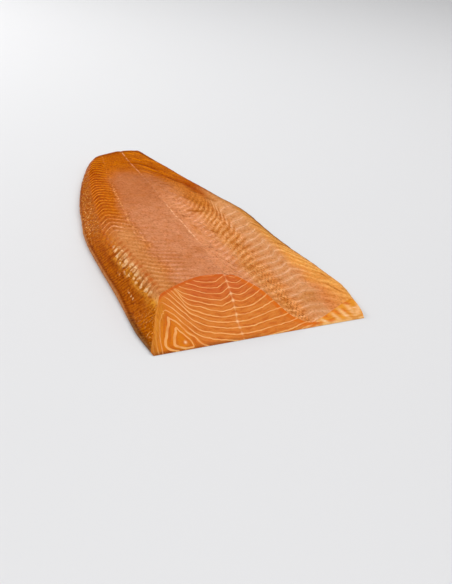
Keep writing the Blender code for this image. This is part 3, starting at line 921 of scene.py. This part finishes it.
class Finish:
    """One material. Its methods add shader nodes and return the socket that carries the result.

    A word in place of a value stands for the mesh's attribute of that name.
    """

    def __init__(self, name):
        roughness, gloss, softness = SHINE[name]
        self.material = bpy.data.materials.new(name)
        self.material.use_nodes = True
        self.tree = self.material.node_tree
        self.place = self.node("TexCoord", {}, "Object")
        self.set(Roughness=roughness, Specular_IOR_Level=gloss)
        if softness:
            self.set(Subsurface_Weight=softness, Subsurface_Scale=GLOW_DEPTH, Subsurface_Radius=GLOW_TONE)

    def set(self, **values):
        """Sets the shader's own sockets, with spaces in their names written as underscores."""
        for name, value in values.items():
            self.put(self.tree.nodes["Principled BSDF"].inputs[name.replace("_", " ")], value)

    def node(self, kind, inputs, output=0, **settings):
        node = self.tree.nodes.new("ShaderNode" + kind)
        for name, value in settings.items():
            setattr(node, name, value)
        for key, value in inputs.items():
            self.put(node.inputs[key], value)
        return node.outputs[output]

    def put(self, socket, value):
        if isinstance(value, str):
            value = self.node("Attribute", {}, "Fac", attribute_name=value, attribute_type="GEOMETRY")
        if isinstance(value, bpy.types.NodeSocket):
            self.tree.links.new(value, socket)
        elif socket.type == "RGBA":
            socket.default_value = (*value, 1.0)
        else:
            socket.default_value = value

    def math(self, operation, *values):
        """The result of an operation on one value or two, or on more of them one after another."""
        result = self.node("Math", dict(enumerate(values[:2])), operation=operation)
        for value in values[2:]:
            result = self.node("Math", {0: result, 1: value}, operation=operation)
        return result

    def times(self, *values):
        return self.math("MULTIPLY", *values) if len(values) > 1 else values[0]

    def plus(self, *values):
        return self.math("ADD", *values)

    def largest(self, *values):
        return self.math("MAXIMUM", *values)

    def away(self, value, other=0.0):
        """How far two values are apart."""
        return self.math("ABSOLUTE", self.math("SUBTRACT", value, other))

    def wave(self, count):
        """A wave that repeats as often as the count says."""
        return self.math("COSINE", self.times(count, 2 * math.pi))

    def ramp(self, value, start, end, low=0.0, high=1.0):
        return self.node("MapRange", {"Value": value, "From Min": start, "From Max": end,
                                      "To Min": low, "To Max": high}, interpolation_type="SMOOTHSTEP")

    def stretch(self, across, along, up=1.0, turn=0.0):
        """The place on the object, stretched so that patterns run long one way, or turned."""
        return self.node("Mapping", {"Vector": self.place, "Rotation": (0, 0, math.radians(turn)),
                                     "Scale": (across, along, up)})

    def noise(self, size, detail=2.0, vector=None, rough=0.5, twist=0.0):
        """Soft noise from 0 to 1 with lumps of about the given size, in millimetres."""
        return self.node("TexNoise", {"Vector": vector or self.place, "Scale": 1 / (size * MM),
                                      "Detail": detail, "Roughness": rough, "Distortion": twist}, "Fac")

    def flow(self, a, a_scale, b, b_scale, detail=3):
        """Noise that follows two values, each counted at its own scale."""
        place = self.node("CombineXYZ", {0: self.times(a, a_scale), 1: self.times(b, b_scale)})
        return self.noise(1 / MM, detail, place)

    def line_mask(self, count, gap, width, soft=0.35):
        """1 on the lines where the count is whole, from the gap between lines and the width, in mm."""
        off = self.times(self.away(count, self.math("ROUND", count)), gap)
        half = self.times(width, 0.5)
        return self.ramp(off, self.plus(half, soft), self.plus(half, -soft))

    def done(self, coat, *bumps):
        """Gives the shader its colour and its bumps, the finest first, each as (height, depth in mm)."""
        normal = {}
        for height, depth in bumps:
            inputs = {"Height": height, "Distance": depth * MM, "Strength": 1.0, **normal}
            normal = {"Normal": self.node("Bump", inputs)}
        self.set(Base_Color=coat.colour, **normal)
        return self.material


class Coat:
    """A colour that others are laid over, as far as their shares say. Shares are multiplied."""

    def __init__(self, finish, colour):
        self.finish, self.colour = finish, tone(colour)

    def lay(self, way, colour, shares):
        inputs = {MIX_SHARE: self.finish.times(*shares), MIX_UNDER: self.colour, MIX_OVER: tone(colour)}
        self.colour = self.finish.node("Mix", inputs, MIX_RESULT, data_type="RGBA", blend_type=way)

    def cover(self, colour, *shares):
        self.lay("MIX", colour, shares)

    def tint(self, colour, *shares):
        self.lay("MULTIPLY", colour, shares)

    def mottle(self, noise, high, low, *shares):
        """Tints where the noise is high and where it is low, each given as (from, full, tint)."""
        for start, full, colour in (high, low):
            self.tint(colour, self.finish.ramp(noise, start, full), *shares)


def cut_material(colours, sizes):
    """Moist flesh with crisp fat lines, a dried rim and the striped belly flap."""
    f = Finish("cut_flesh")
    coat, grain = cut_flesh(f, colours)
    right = f.ramp("fish_x", -20, 8)
    dried = f.times(f.ramp("rim", 3.8, 1.2), f.ramp(f.noise(6), 0.3, 0.6, 0.6, 1.0))
    rim = Coat(f, colours.rim)
    rim.tint((1.17, 1.42, 1.1), right)
    coat.cover(rim, dried)
    dried = f.times(dried, f.ramp(right, 0.0, 1.0, 1.0, 0.6))
    fat = f.times(cut_fat(f, sizes), f.ramp(dried, 0.2, 1.0, 1.0, 0.25))
    coat.cover(colours.fat, fat)
    coat.cover("star", "fat_star")
    return f.done(coat, (grain, 0.12), (fat, 0.10))


def cut_flesh(f, colours):
    """Flesh that is yellower in the core, redder at the top, golden in the corner, pale at the belly."""
    coat = Coat(f, colours.flesh)
    coat.cover(colours.core, "cut_core")
    coat.cover(colours.red, "cut_red", f.ramp(f.noise(14), 0.3, 0.6, 0.6, 1.0))
    off_line = f.away("fat_count", f.math("ROUND", "fat_count"))
    coat.tint((0.97, 0.84, 0.6), f.ramp(off_line, 0.32, 0.08, 0.0, 0.7))
    coat.cover("belly cut", "belly_cut")
    coat.cover("belly red", "belly_red", f.ramp(f.noise(3), 0.3, 0.6, 0.6, 1.0))
    coat.cover("belly pale", "belly_pale", 0.8)
    coat.mottle(f.flow("fish_x", 0.09, "fat_count", 2.6),
                (0.48, 0.66, (0.86, 0.70, 0.45)), (0.47, 0.30, (1.06, 1.18, 1.6)))
    corner = Coat(f, "cut corner")
    corner.mottle(f.noise(1.5, 3, f.stretch(1.0, 0.16, 0.16)),
                  (0.44, 0.64, (0.82, 0.7, 0.4)), (0.42, 0.32, (1.12, 1.2, 1.4)))
    corner.tint((0.74, 0.68, 0.45), f.ramp("fish_x", -108, -118))
    coat.cover(corner, "cut_corner", 0.85)
    # Painted shadow along the cut face's bottom edge.
    coat.tint((0.48, 0.38, 0.28), "base")
    grain = f.noise(1.9, 3, f.stretch(1.0, 2.2))
    coat.tint((0.85, 0.72, 0.55), f.ramp(grain, 0.45, 0.75, 0.0, 0.5))
    return coat, grain


def cut_fat(f, sizes):
    """Where the cut face shows fat, from 0 to 1."""
    line = f.line_mask("fat_count", "fat_gap", f.times("fat_thick", sizes.fat_width / MM))
    fat = f.times(line, "fat_strength", f.ramp(f.noise(9, 1), 0.25, 0.55, 0.6, 1.0))
    lateral = f.times(f.ramp(f.away("lateral"), 1.2, 0.2), 0.42, f.ramp(f.noise(5, 1), 0.35, 0.6),
                      f.ramp("fish_s", 64, 58))
    return f.largest(fat, lateral)


def smoked_material(name, colours):
    """The smoked surface, with its haze, muscle lines, net marks, dark wall and pale belly."""
    f = Finish(name)
    coat = surface_colours(f, colours)
    lines = back_line_colours(f, coat)
    coat.tint((0.82, 0.69, 0.34), "patches", f.ramp(f.noise(5, 3), 0.3, 0.6, 0.4, 1.0))
    coat.tint((0.58, 0.4, 0.18), "folds")
    coat.tint((1.4, 1.65, 2.2), tail_ridges(f), "tail")
    coat.tint((0.42, 0.3, 0.18), net_marks(f))
    coat.tint((0.55, 0.42, 0.32), wrinkle_marks(f))
    middle_lines(f, coat)
    wall_colours(f, coat, colours)
    painted_shoulder_glints(f, coat)
    edge_colours(f, coat)
    fine = speckle(f, coat)
    return f.done(coat, (fine, 0.16), (lines, 0.15))


def surface_colours(f, colours):
    """The broad colours of the smoked surface, zone by zone."""
    # The haze is partly painted sheen; it is darker further back and paler right of the middle, where the
    # surface faces the overhead lamp, partly as painted light too.
    haze = Coat(f, colours.haze)
    haze.cover("far haze", "far")
    haze.cover("right haze", f.ramp("middle", -12, 18), f.ramp("fish_s", 345, 225))
    flank = Coat(f, "flank")
    flank.cover("far flank", f.ramp("fish_s", 215, 265))
    uneven = f.ramp(f.noise(11, 4), 0.25, 0.55, 0.75, 1.0)
    coat = Coat(f, colours.smoked)
    coat.cover(flank, "flank")
    coat.cover("bank", "bank")
    coat.cover(colours.belly, "belly")
    coat.cover("belly edge", "edge")
    coat.cover("tan", "tan", uneven)
    coat.cover(haze, "haze", uneven)
    coat.cover("belly haze", "belly_haze", uneven)
    coat.cover("tail", "tail")
    flecks = f.noise(3.4, 3, f.stretch(0.45, 1.0, turn=-35))
    coat.tint((0.84, 0.78, 0.7), f.ramp(flecks, 0.56, 0.7), "haze", f.ramp(f.noise(24), 0.4, 0.6))
    coat.mottle(f.noise(16, 3, f.stretch(1.0, 0.7)),
                (0.5, 0.68, (0.9, 0.82, 0.7)), (0.5, 0.34, (1.06, 1.08, 1.12)), 0.7)
    return coat


def back_line_colours(f, coat):
    """Paints the muscle lines paler than the flesh, with darker flesh between them."""
    patchy = f.largest(f.ramp(f.noise(9), 0.32, 0.62, 0.25, 0.9), f.times("belly_haze", 0.75))
    stroke = f.times(f.line_mask("back_count", "back_gap", 1.2, 0.5), patchy)
    dark = f.ramp(f.wave("back_count"), 0.5, -0.8)
    near = f.ramp("fish_s", 150, 95, 0.45, 0.95)
    coat.tint((0.74, 0.52, 0.2), dark, "strokes", f.ramp("fish_s", 230, 290, 0.4, 0.95))
    coat.tint((1.7, 2.5, 6.0), stroke, "strokes")
    coat.tint((0.88, 0.8, 0.64), dark, "arcs", near)
    coat.tint((1.15, 1.28, 1.55), stroke, "arcs", near)
    return f.largest(f.times(stroke, "strokes"), belly_line_colours(f, coat, patchy))


def belly_line_colours(f, coat, patchy):
    """Paints those of the flank and the belly, with the ribs between them and the belly's fibres."""
    line = f.times(f.line_mask("muscle_count", "muscle_gap", 1.6, 0.8), patchy, "muscle_lines")
    between = f.times(f.ramp(f.wave("muscle_count"), 0.3, -0.9), "muscle_lines",
                      f.ramp(f.noise(8), 0.3, 0.52))
    coat.tint((0.9, 0.78, 0.6), between, 0.6)
    coat.tint((0.84, 0.72, 0.5), between, f.ramp("fish_x", 20, 34), f.ramp("fish_x", 66, 54),
              f.ramp("fish_s", 90, 130, 0.45, 0.95))
    drift = f.flow("muscle_count", 0.55, "fish_x", 0.07)
    drift = f.times(f.ramp(drift, 0.47, 0.62), "flank", f.ramp("fish_x", 58, 46))
    coat.tint((0.88, 0.74, 0.5), drift, 0.5)
    faint = f.times(f.ramp("fish_x", 60, 68), f.ramp("fish_s", 105, 55))
    coat.tint((1.24, 1.52, 2.1), line, f.ramp(drift, 0.0, 1.0, 1.0, 0.75),
              f.ramp("fish_s", 150, 95, 0.85, 1.0), f.ramp(faint, 0.0, 1.0, 1.0, 0.4))
    fibres = f.math("SINE", f.times("muscle_count", 8 * math.pi))
    coat.tint((1.08, 1.2, 1.4), f.ramp(fibres, 0.0, 1.0), f.ramp("fish_x", 76, 88), "belly", patchy, 0.45)
    return line


def tail_ridges(f):
    """Faint pale ridges that run from the middle of the tail out and towards its belly side."""
    slant = f.plus("fish_s", f.times("fish_x", 0.9))
    return f.times(f.ramp(f.flow(slant, 0.16, "fish_x", 0.022), 0.50, 0.62), f.ramp("middle", 2, 10))


def net_marks(f):
    """Rows of dark dashes between the crossed threads that a net has printed on the flank's foot."""
    rows = []
    for across, along in ((1.9, 0.75), (-1.5, 1.0)):
        slant = f.plus(f.times("fish_x", across), f.times("fish_s", along), f.times(f.noise(11, 1), 7.0))
        rows.append(f.ramp(f.math("SINE", slant), 0.0, 0.4))
    return f.times("net", *rows, f.ramp(f.noise(5), 0.34, 0.46))


def wrinkle_marks(f):
    """Fine dark wrinkles that run across the surface beside the middle line."""
    waves = f.noise(5.5, 2, f.stretch(0.35, 1.0, turn=-25), 0.55, 0.6)
    return f.times(f.ramp(f.away(waves, 0.5), 0.04, 0.0), "wrinkle",
                   f.ramp(f.noise(14, 1), 0.4, 0.62, 0.0, 0.9))


def middle_lines(f, coat):
    """The pale beaded lines along the middle and the back, with flecks beside the second."""
    beads = f.ramp(f.noise(5, 1), 0.38, 0.62, 0.1, 1.0)
    wander = f.plus(f.noise(9), -0.5)
    off_middle = f.away(f.plus("middle", f.times(wander, 2.8)))
    off_second = f.away(f.plus("second", f.times(wander, 7.0)))
    band = f.times(f.ramp(off_second, 6.5, 2.0), f.ramp("fish_s", 120, 200, 0.3, 1.0),
                   f.ramp("fish_s", 345, 310))
    coat.mottle(f.noise(2.2, 3, f.stretch(1.0, 0.5)),
                (0.54, 0.64, (0.74, 0.6, 0.4)), (0.44, 0.36, (1.22, 1.5, 2.2)), band, 0.8)
    strong = f.largest(f.times(f.ramp("fish_s", 120, 165), f.ramp("fish_s", 260, 225)),
                       f.ramp("fish_s", 330, 365, 0.0, 0.5))
    coat.cover("middle", f.ramp(off_middle, 1.5, 0.3), beads, f.ramp(strong, 0.0, 1.0, 0.15, 0.75))
    coat.cover("second", f.ramp(off_second, 1.5, 0.3), beads, f.ramp("fish_s", 90, 200, 0.25, 0.6),
               f.ramp("fish_s", 350, 280, 0.2, 1.0))


def wall_colours(f, coat, colours):
    """The dark, glossy side of the back, golden near the cut, brown further on and pale at the foot, with
    painted glints on its rough part and near the cut.
    """
    slant = f.plus("fish_s", f.times("fish_u", 9.0))
    wave = f.math("SINE", f.plus(f.times(slant, 2 * math.pi / WALL_WAVE), f.times(f.noise(12, 1), 9.0)))
    wall = Coat(f, colours.wall)
    wall.cover("corner", "corner")
    wall.cover("rough side", "rough", 0.8)
    wall.mottle(f.flow(slant, 0.30, "fish_u", 0.9),
                (0.42, 0.66, (0.72, 0.58, 0.4)), (0.42, 0.30, (1.2, 1.3, 1.6)), 0.6)
    wall.mottle(wave, (0.1, 1.0, (1.2, 1.35, 1.6)), (-0.1, -1.0, (0.85, 0.74, 0.5)), 0.7)
    wall.mottle(f.flow(slant, 0.8, "fish_u", 1.3, 2),
                (0.52, 0.62, (0.9, 0.84, 0.7)), (0.44, 0.36, (1.1, 1.14, 1.25)))
    # Small painted glints on the rough part of the side and near the cut.
    wall.cover("dash", f.ramp(f.noise(1.8, 2, f.stretch(1.0, 1.0, 0.35)), 0.56, 0.66),
               f.largest(f.times("rough", 0.9), f.times("corner", 0.5)))
    off_seam = f.away("fish_u", f.ramp("fish_s", 20, 170, *SEAM))
    wall.cover("seam", f.ramp(off_seam, 0.07, 0.02), f.ramp(f.noise(2.4, 1), 0.52, 0.6),
               f.ramp("fish_s", 175, 150), f.ramp(f.noise(20, 1), 0.5, 0.62), 0.6)
    coat.cover(wall, "wall")
    # The gold band is partly the flesh's own colour and partly painted sheen along the shoulder's edge.
    coat.cover("gold band", "gold", f.ramp(f.noise(9), 0.38, 0.55), 0.85)
    coat.tint((0.5, 0.36, 0.3), "foot_line", 0.8)
    coat.cover(colours.foot, "foot", 0.9)
    coat.tint((0.52, 0.58, 0.65), "foot_shade")


def painted_shoulder_glints(f, coat):
    """The wet, whitish ends of the muscle blocks along the shoulder, partly painted highlight, with dark
    gaps between them.
    """
    beat = f.wave(f.plus("block_count", f.times(f.plus(f.noise(8), -0.5), 0.8)))
    full = f.times(f.ramp("fish_s", 90, 112), f.ramp("fish_s", 150, 125), 0.45)
    # Paler over the shoulder, as painted highlight.
    coat.tint((1.12, 1.22, 1.25), "shoulder")
    coat.tint((0.55, 0.42, 0.25), f.ramp(beat, -0.1, -0.9), f.ramp("shoulder", 0.3, 0.7), 0.75)
    coat.tint((0.78, 0.42, 0.12), f.ramp(beat, 0.4, -0.4), "commas", 0.95)
    coat.tint((0.72, 0.55, 0.35), "jag")
    coat.tint((0.92, 0.7, 0.25), "amber")
    coat.tint((1.2, 1.42, 1.3), "crown")
    # Painted highlight of the back light on the muscle ends, over their own whitish colour.
    coat.cover("glint", f.ramp(f.plus(beat, full), -0.5, 0.3), f.ramp("shoulder", 0.25, 0.6),
               f.ramp(f.noise(3, 3, f.stretch(1.0, 0.6)), 0.42, 0.56), 0.85)


def edge_colours(f, coat):
    """The thin dark edge of the belly, painted as shade, with fine wrinkles beside it, and the other rims,
    most of them darkened as painted shade.
    """
    wrinkle = f.math("SINE", f.times(f.plus("edge_in", f.times(f.noise(12, 1), 6.0)), 1.7))
    coat.tint((0.62, 0.48, 0.3), f.ramp("edge_in", 16.0, 4.0), f.ramp(wrinkle, 0.4, 1.0),
              f.ramp(f.noise(10, 1), 0.45, 0.6), f.ramp("fish_u", 9.0, 10.0), 0.8)
    # Painted shade along the belly's outer edge.
    coat.tint((0.72, 0.66, 0.5), "brim")
    coat.tint((1.02, 1.25, 1.8), "pale_rim")
    # Painted shade along the tail's and the back's outer edges.
    coat.tint((0.66, 0.6, 0.35), "tail_rim")
    coat.tint((0.84, 0.78, 0.5), "back_rim")
    # A painted dark line of shade on the belly's outermost edge.
    coat.cover("lip", "lip")


def speckle(f, coat):
    """Fine fibres that follow the muscle lines, and fine unevenness of colour."""
    right, left = (f.flow(count, 4.5, "fish_x", 0.11, 2) for count in ("muscle_count", "back_count"))
    side = f.ramp("middle", -6, 6)
    fibres = f.plus(f.times(right, side), f.times(left, f.math("SUBTRACT", 1.0, side)))
    smooth = f.largest("haze", "belly", f.times("tan", 0.8))
    coat.mottle(fibres, (0.52, 0.66, (0.8, 0.68, 0.5)), (0.44, 0.32, (1.1, 1.22, 1.4)),
                f.math("SUBTRACT", 1.0, "wall"), f.ramp(smooth, 0.0, 1.0, 0.8, 0.42))
    fine = f.noise(2.0, 3, f.stretch(1.0, 0.6), 0.6)
    coat.mottle(fine, (0.5, 0.7, (0.58, 0.45, 0.3)), (0.46, 0.3, (1.24, 1.36, 1.6)),
                f.ramp(smooth, 0.0, 1.0, 0.95, 0.55))
    return fine


def end_material(colours):
    """The tail's trimmed end: plain flesh with faint rings and fat lines."""
    f = Finish("tail_trim")
    coat = Coat(f, colours.flesh)
    coat.tint((0.8, 0.62, 0.4), f.ramp(f.noise(7, 2, f.stretch(1.0, 1.0, 2.5)), 0.42, 0.6))
    off_line = f.away(f.noise(9, 1, f.stretch(1.0, 1.0, 2.0)), 0.5)
    coat.tint((1.1, 1.5, 2.2), f.ramp(off_line, 0.03, 0.0, 0.0, 0.7))
    return f.done(coat, (f.noise(2.0, 3), 0.15))


def under_material(colours):
    """The flat underside, where the skin was trimmed away."""
    f = Finish("underside")
    streak = f.ramp(f.noise(6, 4, f.stretch(1.0, 0.3)), 0.4, 0.65)
    coat = Coat(f, colours.under)
    coat.cover("under streak", streak)
    return f.done(coat, (streak, 0.15))


# ---------------------------------------------------------------- the stage

FLOOR_RADIUS = 6.0
FLOOR_SIDES = 96
FLOOR_GAP = 0.0002        # the floor lies this far under the salmon
# Where each light stands, and its width and length.
LIGHTS = {
    "overhead": ((0.70, 0.35, 1.5), (1.7, 1.7)),
    "fill": ((-0.60, -1.35, 1.20), (1.2, 1.2)),
    "glint": ((-0.70, 1.40, 0.95), (0.5, 0.3)),
}


def make_floor(colour):
    """A wide, plain floor just under the salmon."""
    bpy.ops.mesh.primitive_circle_add(vertices=FLOOR_SIDES, radius=FLOOR_RADIUS, fill_type="NGON",
                                      location=(0, 0, LOW.z - FLOOR_GAP))
    floor = bpy.context.object
    floor.name = "floor"
    f = Finish("floor")
    floor.data.materials.append(f.done(Coat(f, colour)))


def make_light(name, place, size, power):
    """A soft rectangular light that faces the middle of the salmon."""
    lamp = bpy.data.lights.new(name, "AREA")
    lamp.shape = "RECTANGLE"
    lamp.size, lamp.size_y = size
    lamp.energy = power
    holder = bpy.data.objects.new(name, lamp)
    bpy.context.scene.collection.objects.link(holder)
    holder.location = place
    holder.rotation_euler = (-Vector(place)).to_track_quat("-Z", "Y").to_euler()


def make_sky(strength):
    """Even light from all round."""
    world = bpy.data.worlds.new("room")
    world.use_nodes = True
    background = world.node_tree.nodes["Background"]
    background.inputs["Color"].default_value = (1.0, 1.0, 1.0, 1.0)
    background.inputs["Strength"].default_value = strength
    bpy.context.scene.world = world


def make_camera(stage):
    """The camera, at the angle from which the salmon is shown."""
    lens = bpy.data.cameras.new("camera")
    lens.lens = stage.camera_lens
    camera = bpy.data.objects.new("camera", lens)
    bpy.context.scene.collection.objects.link(camera)
    camera.location = stage.camera_place
    camera.rotation_euler = stage.camera_turn
    bpy.context.scene.camera = camera


# ---------------------------------------------------------------- operators and panel

class SALMON_OT_side(bpy.types.Operator):
    """Make the side of smoked salmon around the part."""

    bl_idname = "salmon.side"
    bl_label = "Side of Salmon"

    def execute(self, context):
        sizes, colours = context.scene.salmon_sizes, context.scene.salmon_colours
        side = build_side(sizes)
        points = np.concatenate(side.points)
        middle = (points.min(axis=0) + points.max(axis=0)) / 2 * MM
        centre = (LOW + HIGH) / 2
        mesh = side.mesh("smoked_side", np.array((centre.x - middle[0], centre.y - middle[1], LOW.z)))
        # In the order of their numbers, from TOP to WET_SIDE.
        for material in (smoked_material("smoked_top", colours), cut_material(colours, sizes),
                         end_material(colours), under_material(colours),
                         smoked_material("smoked_side", colours)):
            mesh.materials.append(material)
        finish_mesh(mesh)
        piece = bpy.data.objects.new("smoked_side", mesh)
        context.scene.collection.objects.link(piece)
        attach(piece, "root")
        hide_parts("salmon_side")
        return {"FINISHED"}


class SALMON_OT_stage(bpy.types.Operator):
    """Make the plain floor, the soft lights and the camera."""

    bl_idname = "salmon.stage"
    bl_label = "Stage"

    def execute(self, context):
        stage = context.scene.salmon_stage
        make_floor(stage.floor)
        for name, (place, size) in LIGHTS.items():
            make_light(name, place, size, getattr(stage, name))
        make_sky(stage.sky)
        make_camera(stage)
        context.scene.view_settings.view_transform = "Standard"
        return {"FINISHED"}


class SALMON_PT_panel(bpy.types.Panel):
    """Sizes, colours and stage of the salmon."""

    bl_idname = "SALMON_PT_panel"
    bl_label = "Smoked Salmon"
    bl_space_type = "VIEW_3D"
    bl_region_type = "UI"
    bl_category = "Salmon"

    def draw(self, context):
        scene = context.scene
        for title, group, operator in (("Sizes", scene.salmon_sizes, "salmon.side"),
                                       ("Colours", scene.salmon_colours, None),
                                       ("Stage", scene.salmon_stage, "salmon.stage")):
            box = self.layout.box()
            box.label(text=title)
            for name in group.__annotations__:
                box.prop(group, name)
            if operator:
                box.operator(operator)


CLASSES = (SalmonSizes, SalmonColours, SalmonStage, SALMON_OT_side, SALMON_OT_stage, SALMON_PT_panel)


def register():
    for cls in CLASSES:
        bpy.utils.register_class(cls)
    bpy.types.Scene.salmon_sizes = PointerProperty(type=SalmonSizes)
    bpy.types.Scene.salmon_colours = PointerProperty(type=SalmonColours)
    bpy.types.Scene.salmon_stage = PointerProperty(type=SalmonStage)


def unregister():
    del bpy.types.Scene.salmon_stage
    del bpy.types.Scene.salmon_colours
    del bpy.types.Scene.salmon_sizes
    for cls in reversed(CLASSES):
        bpy.utils.unregister_class(cls)


def main():
    register()
    bpy.ops.salmon.stage()
    bpy.ops.salmon.side()


if __name__ == "__main__":
    main()
